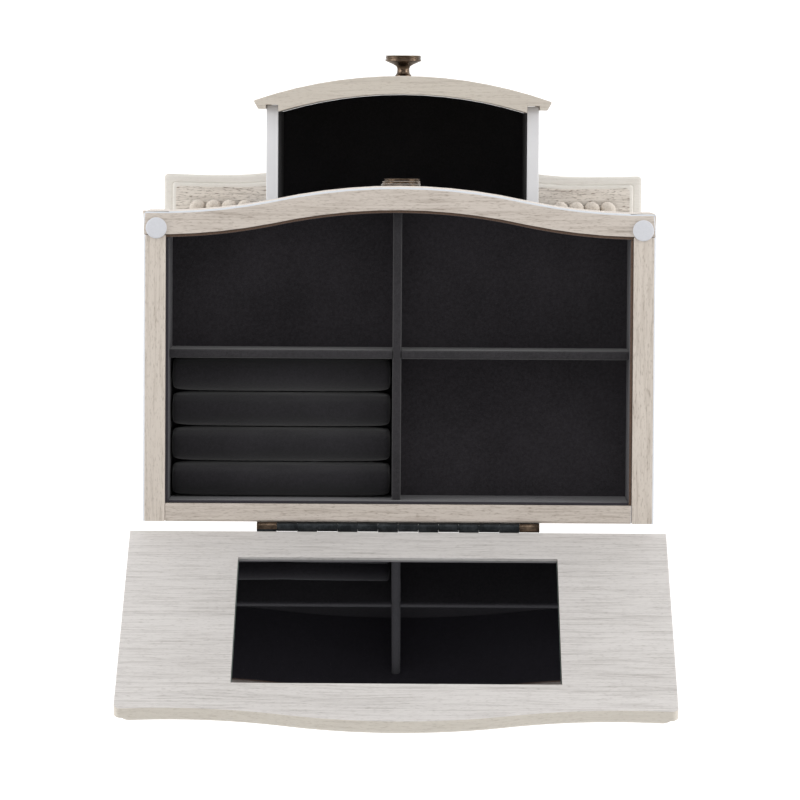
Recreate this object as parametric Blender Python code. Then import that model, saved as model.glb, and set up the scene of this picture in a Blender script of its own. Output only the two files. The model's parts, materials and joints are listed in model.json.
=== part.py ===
"""Jewelry armoire with a flip lid, four bowed drawers and two side doors.

Metres, +Z up.  The front looks along -Y, and the right side is at +X.  The armoire
is modelled with Y = 0 at the middle of its tray box, and then the whole of it is moved
so that the origin lies on the floor under the middle of its box.

The lid stands open and the bottom drawer is pulled out, as the armoire is shown.
"""
import math

import bmesh
import bpy
from mathutils import Matrix, Vector

# ---------------------------------------------------------------- driving dimensions
FIT = 0.0003                    # air left between two pieces that touch

RIM_Z = 0.945                   # top of the tray box
TRAY_HEIGHT = 0.085
TRAY_HALF_WIDTH = 0.218
TRAY_HALF_DEPTH = 0.132
# How far a serpentine front swells at its middle, where it is furthest back, and
# how much flatter its ends are than its middle.
TRAY_WAVE = (0.0217, 0.207, 1.0)
LID_WAVE = (0.0178, 0.185, 1.0)
BASE_WAVE = (0.0220, 0.180, 3.5)
FRONT_WALL = 0.0195
SIDE_WALL = 0.019
BACK_WALL = 0.0155
TRAY_FLOOR = 0.008
RIM_EASE = 0.0015

DIVIDER = 0.0075
DIVIDER_DROP = 0.0176           # the dividers stop this far below the rim
LONG_DIVIDER_Y = -0.0105
CROSS_DIVIDER_X = 0.002
LINER_ROOM = 0.0028             # the felt-covered lining card on a tray wall
ROLL_COUNT = 4
ROLL_HEIGHT = 0.046

LID_HALF_WIDTH = 0.2285
LID_FRONT_OVERHANG = 0.0095
LID_LIP = 0.009
LID_THICKNESS = 0.017
LID_OPEN = math.radians(117)
BUMPER_THICKNESS = 0.0017
BUMPER_RADIUS = 0.009
BUMPER_PLACE = (0.207, -0.118)
MIRROR_SIZE = (0.270, 0.1935, 0.003)
MIRROR_SINK = 0.002
MIRROR_BACK_MARGIN = 0.0415

HINGE_LENGTH = 0.241
HINGE_KNUCKLES = 14
BARREL_RADIUS = 0.0038
BARREL_BORE = 0.0024
PIN_RADIUS = 0.0020
LEAF_THICKNESS = 0.0012
LEAF_HEIGHT = 0.0135

CASE_HALF_WIDTH = 0.2145
CASE_FRONT_Y = -0.1005          # front edges of the partitions
SHELF_FRONT_Y = -0.0965         # behind the tongues of the drawer fronts
PARTITION_X = (0.1342, 0.1480)
BACK_PANEL_Y = (0.121, 0.131)
SHELF = 0.012

BASE_TOP_Z = 0.133
BASE_THICKNESS = 0.018
BASE_HALF_WIDTH = 0.2394
BASE_FRONT_Y = -0.1522
PLINTH_INSET = 0.008
PLINTH_WALL = 0.018
ARCH_HEIGHT = 0.062

# Each drawer front: bottom and top height above the floor, from the top drawer down.
DRAWER_FRONTS = ((0.705, 0.855), (0.531, 0.701), (0.337, 0.527), (0.136, 0.333))
FRONT_HALF_WIDTH = 0.1435
FRONT_MIDDLE_Y = -0.1335
FRONT_SAGITTA = 0.0242
FRONT_THICKNESS = 0.0175
DRAWER_SIDE = 0.0114
DRAWER_HALF_WIDTH = 0.1319
DRAWER_BACK_Y = 0.105
DRAWER_HEADROOM = 0.018         # the box is this much lower than its front
BOTTOM_THICKNESS = 0.004
BOTTOM_LIFT = 0.008
GROOVE_DEPTH = 0.005
RUNNING_GAP = 0.0005
BOTTOM_DRAWER_OUT = 0.118

KNOB_RADIUS = 0.01775
KNOB_STEM_RADIUS = 0.0064
KNOB_PROJECTION = 0.0203

DOOR_Z = (0.1355, 0.8575)
DOOR_PANEL = 0.014
DOOR_BACK_Y = 0.1185
STILE_Y = (-0.1092, -0.1010)
STILE_INNER_X = 0.1465
REED_COUNT = 4
REED_RADIUS = 0.0072
REED_PITCH = 0.0157
REED_MIDDLE_X = 0.1814
FOOT_TOP_Z = 0.178              # the block at the foot of the pilaster
FOOT_FACE_Y = -0.1189
FOOT_REED = (0.0071, 0.0089)    # half width and depth of the short reeds on its face
DOOR_HINGE = (0.2166, 0.11975)
DOOR_BARREL_RADIUS = 0.0022
DOOR_LEAF = 0.00075
DOOR_KNUCKLES = 9

HOOK_STRIP_Z = 0.822
HOOK_COUNT = 8

# ---------------------------------------------------------------- derived places
TRAY_BOTTOM_Z = RIM_Z - TRAY_HEIGHT
TRAY_FLOOR_Z = TRAY_BOTTOM_Z + TRAY_FLOOR
TRAY_INNER_X = TRAY_HALF_WIDTH - SIDE_WALL
TRAY_INNER_BACK_Y = TRAY_HALF_DEPTH - BACK_WALL
LID_INNER_Z = RIM_Z + FIT + BUMPER_THICKNESS + FIT
HINGE_AXIS = (TRAY_HALF_DEPTH + FIT + BARREL_RADIUS, RIM_Z)

# ---------------------------------------------------------------- finishes
WHITEWASHED_WOOD = ("whitewashed_wood", (0.58, 0.53, 0.46), 0.55, 0.0)
PAINTED_WOOD = ("painted_drawer_wood", (0.66, 0.67, 0.70), 0.5, 0.0)
BLACK_FELT = ("black_felt", (0.015, 0.014, 0.017), 0.95, 0.0)
PALE_FELT = ("pale_felt", (0.68, 0.69, 0.73), 0.9, 0.0)
AGED_BRONZE = ("aged_bronze", (0.10, 0.075, 0.055), 0.35, 1.0)
DARK_STEEL = ("dark_steel", (0.05, 0.055, 0.06), 0.4, 1.0)
MIRROR_GLASS = ("mirror_glass", (0.9, 0.9, 0.9), 0.02, 1.0)


def clear_scene():
    """Remove every object that the scene holds."""
    for item in list(bpy.data.objects):
        bpy.data.objects.remove(item, do_unlink=True)


def finish(spec):
    """Return the material of a finish, made the first time it is asked for."""
    name, colour, roughness, metallic = spec
    existing = bpy.data.materials.get(name)
    if existing:
        return existing
    material = bpy.data.materials.new(name)
    material.use_nodes = True
    shader = material.node_tree.nodes["Principled BSDF"]
    shader.inputs["Base Color"].default_value = (*colour, 1.0)
    shader.inputs["Roughness"].default_value = roughness
    shader.inputs["Metallic"].default_value = metallic
    return material


def pivot(name, location, parent=None):
    """Add an empty that pieces hang from."""
    empty = bpy.data.objects.new(name, None)
    empty.location = location
    empty.parent = parent
    bpy.context.collection.objects.link(empty)
    return empty


def add_piece(name, shape, spec, parent, smooth_angle=None):
    """Turn a bmesh into a named object, in its parent's space."""
    mesh = bpy.data.meshes.new(name)
    bmesh.ops.recalc_face_normals(shape, faces=shape.faces)
    shape.to_mesh(mesh)
    shape.free()
    if spec:
        mesh.materials.append(finish(spec))
    if smooth_angle:
        mesh.shade_smooth()
        mesh.set_sharp_from_angle(angle=smooth_angle)
    item = bpy.data.objects.new(name, mesh)
    bpy.context.collection.objects.link(item)
    item.parent = parent
    return item


def combine(target, name, shape, operation):
    """Cut a shape from a piece or join it on, with a Boolean that stays live."""
    cutter = add_piece(name, shape, None, target.parent)
    cutter.hide_render = True
    cutter.display_type = "WIRE"
    modifier = target.modifiers.new(name, "BOOLEAN")
    modifier.operation = operation
    modifier.object = cutter


# ---------------------------------------------------------------- shapes
def prism(outline, low, high, upright="Z"):
    """Extrude an outline from low to high along one of the axes."""
    order = {"X": lambda a, b, c: (c, a, b), "Y": lambda a, b, c: (a, c, b), "Z": lambda a, b, c: (a, b, c)}
    return stacked([[order[upright](a, b, level) for a, b in outline] for level in (low, high)])


def stacked(rings):
    """Join rings of equally many points into one closed skin."""
    shape = bmesh.new()
    loops = [[shape.verts.new(point) for point in ring] for ring in rings]
    count = len(loops[0])
    for below, above in zip(loops, loops[1:]):
        for i in range(count):
            j = (i + 1) % count
            shape.faces.new((below[i], below[j], above[j], above[i]))
    shape.faces.new(loops[0][::-1])
    shape.faces.new(loops[-1])
    return shape


def block(x, y, z):
    """A box between two limits on each axis."""
    shape = bmesh.new()
    size = Vector((x[1] - x[0], y[1] - y[0], z[1] - z[0]))
    middle = Vector((sum(x), sum(y), sum(z))) / 2
    bmesh.ops.create_cube(shape, size=1.0, matrix=Matrix.Translation(middle) @ Matrix.Diagonal((*size, 1.0)))
    return shape


def merge(shapes):
    """Gather separate shapes in one bmesh."""
    whole = bmesh.new()
    for shape in shapes:
        carrier = bpy.data.meshes.new("carrier")
        shape.to_mesh(carrier)
        shape.free()
        whole.from_mesh(carrier)
        bpy.data.meshes.remove(carrier)
    return whole


def turned(profile, segments, matrix):
    """Spin a profile of (radius, height) points whose ends lie on the axis."""
    shape = bmesh.new()
    rings = []
    for radius, height in profile[1:-1]:
        ring = [shape.verts.new((radius * math.cos(math.tau * i / segments),
                                 radius * math.sin(math.tau * i / segments), height)) for i in range(segments)]
        rings.append(ring)
    for below, above in zip(rings, rings[1:]):
        for i in range(segments):
            j = (i + 1) % segments
            shape.faces.new((below[i], below[j], above[j], above[i]))
    for ring, (_, height) in ((rings[0], profile[0]), (rings[-1], profile[-1])):
        tip = shape.verts.new((0.0, 0.0, height))
        for i in range(segments):
            shape.faces.new((ring[i], ring[(i + 1) % segments], tip))
    shape.transform(matrix)
    return shape


def rod(radius, low, high, segments, matrix):
    """A plain round bar along its own Z axis."""
    return turned([(0, low), (radius, low), (radius, high), (0, high)], segments, matrix)


def arc(centre, radius, start, end, steps):
    """Points along an arc, in degrees, both ends included."""
    angles = [math.radians(start + (end - start) * i / steps) for i in range(steps + 1)]
    return [(centre[0] + radius * math.cos(a), centre[1] + radius * math.sin(a)) for a in angles]


def mirrored(points, side):
    """Flip an outline to the other side when side is -1."""
    return [(side * x, y) for x, y in points]


# ---------------------------------------------------------------- serpentine outline
def serpentine(x, vertex_y, wave=TRAY_WAVE):
    """Front line: a convex middle arc that runs into a concave arc on each side."""
    bulge, half_width, flatness = wave
    half = half_width / 2
    rise = bulge / 2
    radius = (half ** 2 + rise ** 2) / (2 * rise)
    if abs(x) <= half:
        return vertex_y - bulge + radius - math.sqrt(radius ** 2 - x ** 2)
    if abs(x) > half_width:
        radius *= flatness
    return vertex_y - radius + math.sqrt(radius ** 2 - (abs(x) - half_width) ** 2)


def front_points(half_width, vertex_y, wave=TRAY_WAVE, steps=20):
    """Serpentine points from the left end to the right end."""
    xs = [-half_width + 2 * half_width * i / steps for i in range(steps + 1)]
    return [(x, serpentine(x, vertex_y, wave)) for x in xs]


def board_outline(wave, half_width, front_y, back_y, corner=0.0, inset=0.0):
    """A board with a serpentine front, drawn anticlockwise; inset shrinks its front and sides."""
    half = half_width - inset
    reach = half - corner
    front = front_points(reach, front_y + inset, wave)
    if corner:
        left = arc((-reach, front[0][1] + corner), corner, 180, 270, 4)[:-1]
        right = arc((reach, front[-1][1] + corner), corner, 270, 360, 4)[1:]
        front = left + front + right
    return front + [(half, back_y), (-half, back_y)]


# ---------------------------------------------------------------- base
def build_base(parent):
    """Moulded base board on a frame of four bracket feet."""
    # Height above the board's underside against inset, from the underside to the flat field.
    moulding = ((0.0, 0.003), (0.004, 0.0), (0.0125, 0.0), (0.0148, 0.0020), (0.0152, 0.0070),
                (0.0172, 0.0095), (0.0180, 0.0120))
    low = BASE_TOP_Z - BASE_THICKNESS
    rings = []
    for height, inset in moulding:
        outline = board_outline(BASE_WAVE, BASE_HALF_WIDTH, BASE_FRONT_Y, TRAY_HALF_DEPTH, 0.004, inset)
        rings.append([(x, y, low + height) for x, y in outline])
    add_piece("base_board", stacked(rings), WHITEWASHED_WOOD, parent)

    top = low - FIT
    half = BASE_HALF_WIDTH - PLINTH_INSET
    front_y = BASE_FRONT_Y + PLINTH_INSET
    back_y = TRAY_HALF_DEPTH - 0.002
    plinth = add_piece("plinth_frame", prism(board_outline(BASE_WAVE, half, front_y, back_y), 0.0, top),
                       WHITEWASHED_WOOD, parent)
    well = board_outline(BASE_WAVE, half - PLINTH_WALL, front_y + PLINTH_WALL, back_y - PLINTH_WALL)
    combine(plinth, "plinth_well", prism(well, -0.01, top + 0.01), "DIFFERENCE")
    combine(plinth, "plinth_front_arch", prism(arch(0.150), front_y - 0.05, back_y + 0.05, "Y"), "DIFFERENCE")
    side_arch = [(y - 0.005, z) for y, z in arch(0.075)]
    combine(plinth, "plinth_side_arch", prism(side_arch, -half - 0.05, half + 0.05, "X"), "DIFFERENCE")


def arch(half_width):
    """Opening between two bracket feet: a flat apron that curves down to the floor."""
    curve = 0.040
    left = arc((-half_width + curve, ARCH_HEIGHT - curve), curve, 180, 90, 4)
    right = [(-x, z) for x, z in reversed(left)]
    return [(-half_width, -0.01)] + left + right + [(half_width, -0.01)]


# ---------------------------------------------------------------- case
def build_case(parent):
    """Partitions, back panel and the shelves that the drawers run on."""
    upright = (BASE_TOP_Z + FIT, TRAY_BOTTOM_Z - FIT)
    depth = (CASE_FRONT_Y, BACK_PANEL_Y[0] - FIT)
    for side, word in ((-1, "left"), (1, "right")):
        limits = sorted(side * x for x in PARTITION_X)
        add_piece(f"partition_{word}", block(limits, depth, upright), WHITEWASHED_WOOD, parent)
    add_piece("back_panel", block((-CASE_HALF_WIDTH, CASE_HALF_WIDTH), BACK_PANEL_Y, upright),
              WHITEWASHED_WOOD, parent)
    reach = PARTITION_X[0] - FIT
    shelf_depth = (SHELF_FRONT_Y, depth[1])
    for number, top in enumerate(shelf_tops()[:-1], start=1):
        add_piece(f"drawer_shelf_{number}", block((-reach, reach), shelf_depth, (top - SHELF, top)),
                  PAINTED_WOOD, parent)


def shelf_tops():
    """Heights that the drawers run on: a shelf behind each gap between fronts, then the base."""
    tops = []
    for upper, lower in zip(DRAWER_FRONTS, DRAWER_FRONTS[1:]):
        tops.append((upper[0] + lower[1]) / 2 + SHELF / 2)
    return tops + [BASE_TOP_Z]


# ---------------------------------------------------------------- tray
def build_tray(parent):
    """Open tray box on top of the case, with its dividers, ring rolls and bumpers."""
    front = front_points(TRAY_HALF_WIDTH, -TRAY_HALF_DEPTH)
    outline = front + [(x, y + FRONT_WALL) for x, y in reversed(front)]
    rings = [[(x, y, TRAY_BOTTOM_Z) for x, y in outline],
             [(x, y, RIM_Z - RIM_EASE) for x, y in outline],
             [(*eased(x, y, i < len(front)), RIM_Z) for i, (x, y) in enumerate(outline)]]
    add_piece("tray_front_wall", stacked(rings), WHITEWASHED_WOOD, parent)

    wall_front = -TRAY_HALF_DEPTH + FRONT_WALL + FIT
    for side, word in ((-1, "left"), (1, "right")):
        outer, inner = side * TRAY_HALF_WIDTH, side * TRAY_INNER_X
        profile = [(inner, TRAY_BOTTOM_Z), (outer, TRAY_BOTTOM_Z), (outer, RIM_Z - RIM_EASE),
                   (outer - side * RIM_EASE, RIM_Z), (inner, RIM_Z)]
        add_piece(f"tray_{word}_wall", prism(profile, wall_front, TRAY_HALF_DEPTH, "Y"),
                  WHITEWASHED_WOOD, parent)

    reach = TRAY_INNER_X - FIT
    profile = [(TRAY_INNER_BACK_Y, TRAY_BOTTOM_Z), (TRAY_HALF_DEPTH, TRAY_BOTTOM_Z),
               (TRAY_HALF_DEPTH, RIM_Z - RIM_EASE), (TRAY_HALF_DEPTH - RIM_EASE, RIM_Z),
               (TRAY_INNER_BACK_Y, RIM_Z)]
    add_piece("tray_back_wall", prism(profile, -reach, reach, "X"), WHITEWASHED_WOOD, parent)

    floor = front_points(reach, -TRAY_HALF_DEPTH + FRONT_WALL + FIT)
    floor += [(reach, TRAY_INNER_BACK_Y - FIT), (-reach, TRAY_INNER_BACK_Y - FIT)]
    add_piece("tray_floor", prism(floor, TRAY_BOTTOM_Z, TRAY_FLOOR_Z), BLACK_FELT, parent)
    build_dividers(parent)
    build_ring_rolls(parent)

    for side, word in ((-1, "left"), (1, "right")):
        place = Matrix.Translation((side * BUMPER_PLACE[0], BUMPER_PLACE[1], RIM_Z + FIT))
        add_piece(f"bumper_{word}", rod(BUMPER_RADIUS, 0, BUMPER_THICKNESS, 20, place),
                  PALE_FELT, parent, math.radians(40))


def eased(x, y, outside):
    """Pull an outer rim point in by the eased edge."""
    if not outside:
        return x, y
    return max(-TRAY_HALF_WIDTH + RIM_EASE, min(TRAY_HALF_WIDTH - RIM_EASE, x)), y + RIM_EASE


def build_dividers(parent):
    """Two felt-covered dividers that cross in half-lap notches."""
    low, high = TRAY_FLOOR_Z + FIT, RIM_Z - DIVIDER_DROP
    waist = (low + high) / 2
    reach = TRAY_INNER_X - LINER_ROOM
    half_slot = DIVIDER / 2 + FIT
    slot = (CROSS_DIVIDER_X - half_slot, CROSS_DIVIDER_X + half_slot)
    across = [(-reach, low), (reach, low), (reach, high), (slot[1], high), (slot[1], waist),
              (slot[0], waist), (slot[0], high), (-reach, high)]
    long_y = (LONG_DIVIDER_Y - DIVIDER / 2, LONG_DIVIDER_Y + DIVIDER / 2)
    add_piece("divider_long", prism(across, *long_y, "Y"), BLACK_FELT, parent)

    front = serpentine(DIVIDER, -TRAY_HALF_DEPTH + FRONT_WALL) + LINER_ROOM
    back = TRAY_INNER_BACK_Y - LINER_ROOM
    slot = (LONG_DIVIDER_Y - half_slot, LONG_DIVIDER_Y + half_slot)
    along = [(front, low), (slot[0], low), (slot[0], waist + FIT), (slot[1], waist + FIT), (slot[1], low),
             (back, low), (back, high), (front, high)]
    cross_x = (CROSS_DIVIDER_X - DIVIDER / 2, CROSS_DIVIDER_X + DIVIDER / 2)
    add_piece("divider_cross", prism(along, *cross_x, "X"), BLACK_FELT, parent)


def build_ring_rolls(parent):
    """Padded rolls, side by side, that grip rings between them."""
    start = LONG_DIVIDER_Y + DIVIDER / 2
    pitch = (TRAY_INNER_BACK_Y - LINER_ROOM - start) / ROLL_COUNT
    ends = (CROSS_DIVIDER_X + DIVIDER / 2 + FIT, TRAY_INNER_X - LINER_ROOM - FIT)
    radius = pitch / 2 - FIT
    low = TRAY_FLOOR_Z + FIT
    for number in range(ROLL_COUNT):
        middle = start + pitch * (number + 0.5)
        top = arc((middle, low + ROLL_HEIGHT - radius), radius, 0, 180, 8)
        outline = [(middle - radius, low), (middle + radius, low)] + top
        add_piece(f"ring_roll_{number + 1}", prism(outline, *ends, "X"), BLACK_FELT, parent, math.radians(35))


# ---------------------------------------------------------------- lid and its hinge
def build_lid(case):
    """Flip lid, modelled closed and then swung back on its hinge."""
    swing = pivot("lid_swing", (0, *HINGE_AXIS), case)
    shift = Matrix.Translation((0, -HINGE_AXIS[0], -HINGE_AXIS[1]))
    # Height above the lid's inner face against inset, from the inner face to the top.
    edge = ((0.0, 0.0008), (0.0008, 0.0), (LID_LIP, 0.0), (LID_LIP + 0.0008, 0.0035),
            (0.0125, 0.0045), (0.0155, 0.0070), (LID_THICKNESS, 0.0100))
    front_y = -TRAY_HALF_DEPTH - LID_FRONT_OVERHANG
    rings = []
    for height, inset in edge:
        outline = board_outline(LID_WAVE, LID_HALF_WIDTH, front_y, TRAY_HALF_DEPTH, 0.007, inset)
        rings.append([(x, y, LID_INNER_Z + height) for x, y in outline])
    slab = stacked(rings)
    slab.transform(shift)
    lid = add_piece("lid_panel", slab, WHITEWASHED_WOOD, swing)

    width, depth, thickness = MIRROR_SIZE
    back = TRAY_HALF_DEPTH - MIRROR_BACK_MARGIN
    pocket = block((-width / 2, width / 2), (back - depth, back),
                   (LID_INNER_Z - 0.01, LID_INNER_Z + MIRROR_SINK + thickness + FIT))
    pocket.transform(shift)
    combine(lid, "mirror_pocket", pocket, "DIFFERENCE")
    glass = block((-width / 2 + FIT, width / 2 - FIT), (back - depth + FIT, back - FIT),
                  (LID_INNER_Z + MIRROR_SINK, LID_INNER_Z + MIRROR_SINK + thickness))
    glass.transform(shift)
    add_piece("mirror", glass, MIRROR_GLASS, swing)

    build_lid_hinge(case, swing)
    swing.rotation_euler = (-LID_OPEN, 0, 0)


def build_lid_hinge(case, swing):
    """Piano hinge: two leaves with interleaved knuckles on one pin."""
    frame = pivot("lid_hinge_line", (0, *HINGE_AXIS), case)
    pitch = HINGE_LENGTH / HINGE_KNUCKLES
    for holder, name, up, first in ((frame, "hinge_leaf_case", -1, 0), (swing, "hinge_leaf_lid", 1, 1)):
        plate = block((-HINGE_LENGTH / 2, HINGE_LENGTH / 2), (-BARREL_RADIUS, -BARREL_RADIUS + LEAF_THICKNESS),
                      sorted((up * (BARREL_RADIUS + 0.0004), up * LEAF_HEIGHT)))
        leaf = add_piece(name, plate, DARK_STEEL, holder)
        knuckles = []
        for number in range(first, HINGE_KNUCKLES, 2):
            start = -HINGE_LENGTH / 2 + pitch * number + FIT / 2
            outline = [(y, up * z) for y, z in knuckle_outline()]
            knuckles.append(prism(outline, start, start + pitch - FIT, "X"))
        combine(leaf, f"{name}_knuckles", merge(knuckles), "UNION")
    place = Matrix.Rotation(math.radians(90), 4, "Y")
    add_piece("hinge_pin", rod(PIN_RADIUS, -HINGE_LENGTH / 2, HINGE_LENGTH / 2, 10, place),
              AGED_BRONZE, frame, math.radians(50))


def knuckle_outline():
    """Leaf end rolled round the pin, seen along the pin, with the leaf going up."""
    reach = BARREL_RADIUS + 0.0009
    outside = arc((0, 0), BARREL_RADIUS, 180, 470, 10)
    inside = arc((0, 0), BARREL_BORE, 470, 180, 10)
    return [(-BARREL_RADIUS, reach)] + outside + inside + [(-BARREL_RADIUS + LEAF_THICKNESS, reach)]


# ---------------------------------------------------------------- drawers
def build_drawer(case, number, front_z, run_z, out):
    """One drawer: bowed front with its knob, and a grooved box that holds the bottom."""
    slide = pivot(f"drawer_{number}_slide", (0, -out, 0), case)
    label = f"drawer_{number}"
    low, high = run_z + RUNNING_GAP, front_z[1] - DRAWER_HEADROOM
    add_piece(f"{label}_front", prism(drawer_front_outline(), *front_z), WHITEWASHED_WOOD, slide)

    inner = DRAWER_HALF_WIDTH - DRAWER_SIDE
    groove = (low + BOTTOM_LIFT, low + BOTTOM_LIFT + BOTTOM_THICKNESS + 2 * FIT)
    profile = [(inner, low), (DRAWER_HALF_WIDTH, low), (DRAWER_HALF_WIDTH, high), (inner, high),
               (inner, groove[1]), (inner + GROOVE_DEPTH, groove[1]), (inner + GROOVE_DEPTH, groove[0]),
               (inner, groove[0])]
    for side, word in ((-1, "left"), (1, "right")):
        add_piece(f"{label}_{word}_side", prism(mirrored(profile, side), rabbet_y() + FIT, DRAWER_BACK_Y, "Y"),
                  PAINTED_WOOD, slide)
    reach = inner - FIT
    add_piece(f"{label}_back", block((-reach, reach), (DRAWER_BACK_Y - DRAWER_SIDE, DRAWER_BACK_Y),
                                     (groove[1], high)), PAINTED_WOOD, slide)

    edge = inner + GROOVE_DEPTH - FIT
    tongue = bow(reach, FRONT_THICKNESS) + FIT
    front = [(reach * i / 6, bow(reach * i / 6, FRONT_THICKNESS) + FIT) for i in range(-6, 7)]
    outline = [(-edge, DRAWER_BACK_Y), (-edge, tongue)] + front + [(edge, tongue), (edge, DRAWER_BACK_Y)]
    add_piece(f"{label}_bottom", prism(outline, groove[0] + FIT, groove[0] + FIT + BOTTOM_THICKNESS),
              BLACK_FELT, slide)

    place = Matrix.Translation((0, FRONT_MIDDLE_Y - FIT, sum(front_z) / 2)) @ Matrix.Rotation(
        math.radians(90), 4, "X")
    add_piece(f"{label}_knob", turned(knob_profile(), 16, place), AGED_BRONZE, slide, math.radians(40))


def bow(x, back=0.0):
    """Y of the bowed front at x, moved back by a thickness."""
    radius = (FRONT_HALF_WIDTH ** 2 + FRONT_SAGITTA ** 2) / (2 * FRONT_SAGITTA)
    return FRONT_MIDDLE_Y + radius - math.sqrt((radius - back) ** 2 - x ** 2)


def rabbet_y():
    """Y of the rabbet that takes the front ends of the drawer sides."""
    return CASE_FRONT_Y - RUNNING_GAP - 0.004


def drawer_front_outline():
    """Bowed board whose lips cover the case and whose tongue fits between the sides."""
    lip = CASE_FRONT_Y - RUNNING_GAP
    tongue = DRAWER_HALF_WIDTH - DRAWER_SIDE - FIT
    steps = 14
    outside = [(x, bow(x)) for x in (-FRONT_HALF_WIDTH + 2 * FRONT_HALF_WIDTH * i / steps
                                     for i in range(steps + 1))]
    tip = (FRONT_HALF_WIDTH, bow(FRONT_HALF_WIDTH) + 0.0015)
    end = [tip, (FRONT_HALF_WIDTH - 0.004, lip), (DRAWER_HALF_WIDTH + FIT, lip),
           (DRAWER_HALF_WIDTH + FIT, rabbet_y()), (tongue, rabbet_y())]
    inside = [(tongue - tongue * i / 6, bow(tongue - tongue * i / 6, FRONT_THICKNESS)) for i in range(13)]
    return outside + end + inside + [(-x, y) for x, y in reversed(end)]


def knob_profile():
    """Mushroom knob from its foot, through a slim stem, to a crowned face."""
    rim, stem, reach = KNOB_RADIUS, KNOB_STEM_RADIUS, KNOB_PROJECTION
    return [(0, 0), (stem * 1.25, 0), (stem * 1.25, 0.0015), (stem, 0.0035), (stem * 1.05, 0.0085),
            (rim * 0.78, 0.0125), (rim, 0.0145), (rim, reach - 0.0035), (rim * 0.86, reach - 0.0008), (0, reach)]


# ---------------------------------------------------------------- side doors
def build_door(case, side, word):
    """Side door: a panel along the side and a reeded pilaster across the front."""
    hinge_x, hinge_y = side * DOOR_HINGE[0], DOOR_HINGE[1]
    swing = pivot(f"door_{word}_swing", (hinge_x, hinge_y, 0), case)
    shift = Matrix.Translation((-hinge_x, -hinge_y, 0))

    panel_x = sorted((side * (CASE_HALF_WIDTH - DOOR_PANEL), side * CASE_HALF_WIDTH))
    panel = block(panel_x, (STILE_Y[1] + FIT, DOOR_BACK_Y), DOOR_Z)
    panel.transform(shift)
    add_piece(f"door_{word}_panel", panel, WHITEWASHED_WOOD, swing)

    face = STILE_Y[0]
    outline = [(STILE_INNER_X, STILE_Y[1]), (STILE_INNER_X, face)]
    first = REED_MIDDLE_X - REED_PITCH * (REED_COUNT - 1) / 2
    for number in range(REED_COUNT):
        outline += arc((first + REED_PITCH * number, face), REED_RADIUS, 180, 360, 6)
    outline += [(CASE_HALF_WIDTH, face), (CASE_HALF_WIDTH, STILE_Y[1])]
    pilaster = prism(mirrored(outline, side), *DOOR_Z)
    pilaster.transform(shift)
    pilaster = add_piece(f"door_{word}_pilaster", pilaster, WHITEWASHED_WOOD, swing)
    for number, shape in enumerate(pilaster_foot(side)):
        shape.transform(shift)
        combine(pilaster, f"door_{word}_foot_{number}", shape, "UNION")

    build_door_hinge(case, swing, side, word)
    build_hook_strip(case, side, word)


def pilaster_foot(side):
    """The pilaster's foot: a plain block, then the short domed reeds on its face."""
    block_x = sorted((side * (STILE_INNER_X + 0.0005), side * (CASE_HALF_WIDTH - 0.0005)))
    shapes = [block(block_x, (FOOT_FACE_Y, STILE_Y[1] - 0.001), (DOOR_Z[0], FOOT_TOP_Z))]
    half, depth = FOOT_REED
    first = REED_MIDDLE_X - REED_PITCH * (REED_COUNT - 1) / 2
    # Height against the share of the full reed, from its foot to the crown of its dome.
    dome = ((DOOR_Z[0], 1.0), (FOOT_TOP_Z - 0.0085, 1.0), (FOOT_TOP_Z - 0.0045, 0.88),
            (FOOT_TOP_Z - 0.0020, 0.64), (FOOT_TOP_Z - 0.0010, 0.36))
    for number in range(REED_COUNT):
        middle = first + REED_PITCH * number
        rings = []
        for height, share in dome:
            ring = [(middle + half * share * x, FOOT_FACE_Y + depth * share * y)
                    for x, y in arc((0, 0), 1.0, 180, 360, 8)]
            ring = [(middle - half * share, FOOT_FACE_Y + 0.001), *ring, (middle + half * share, FOOT_FACE_Y + 0.001)]
            rings.append([(x, y, height) for x, y in mirrored(ring, side)])
        shapes.append(stacked(rings))
    return shapes


def build_door_hinge(case, swing, side, word):
    """Two leaves behind the door's back edge, with interleaved knuckles."""
    line = pivot(f"door_{word}_hinge_line", (side * DOOR_HINGE[0], DOOR_HINGE[1], 0), case)
    low, high = DOOR_Z[0] + 0.004, DOOR_Z[1] - 0.004
    pitch = (high - low) / DOOR_KNUCKLES
    for holder, part, back, first in ((line, "case", 1, 0), (swing, "door", -1, 1)):
        leaf_y = sorted((back * 0.0002, back * (0.0002 + DOOR_LEAF)))
        plate = block(sorted((side * -0.0136, side * -0.0027)), leaf_y, (low, high))
        leaf = add_piece(f"door_{word}_hinge_leaf_{part}", plate, AGED_BRONZE, holder)
        start = math.degrees(math.asin((0.0002 + DOOR_LEAF) / DOOR_BARREL_RADIUS))
        end = math.degrees(math.asin(0.0002 / DOOR_BARREL_RADIUS))
        outline = [(-0.0031, 0.0002), (-0.0031, 0.0002 + DOOR_LEAF)]
        outline += arc((0, 0), DOOR_BARREL_RADIUS, 180 - start, -180 - end, 12)
        outline = [(side * x, back * y) for x, y in outline]
        knuckles = []
        for number in range(first, DOOR_KNUCKLES, 2):
            foot = low + pitch * number + FIT / 2
            knuckles.append(prism(outline, foot, foot + pitch - FIT))
        combine(leaf, f"door_{word}_{part}_knuckles", merge(knuckles), "UNION")


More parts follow.
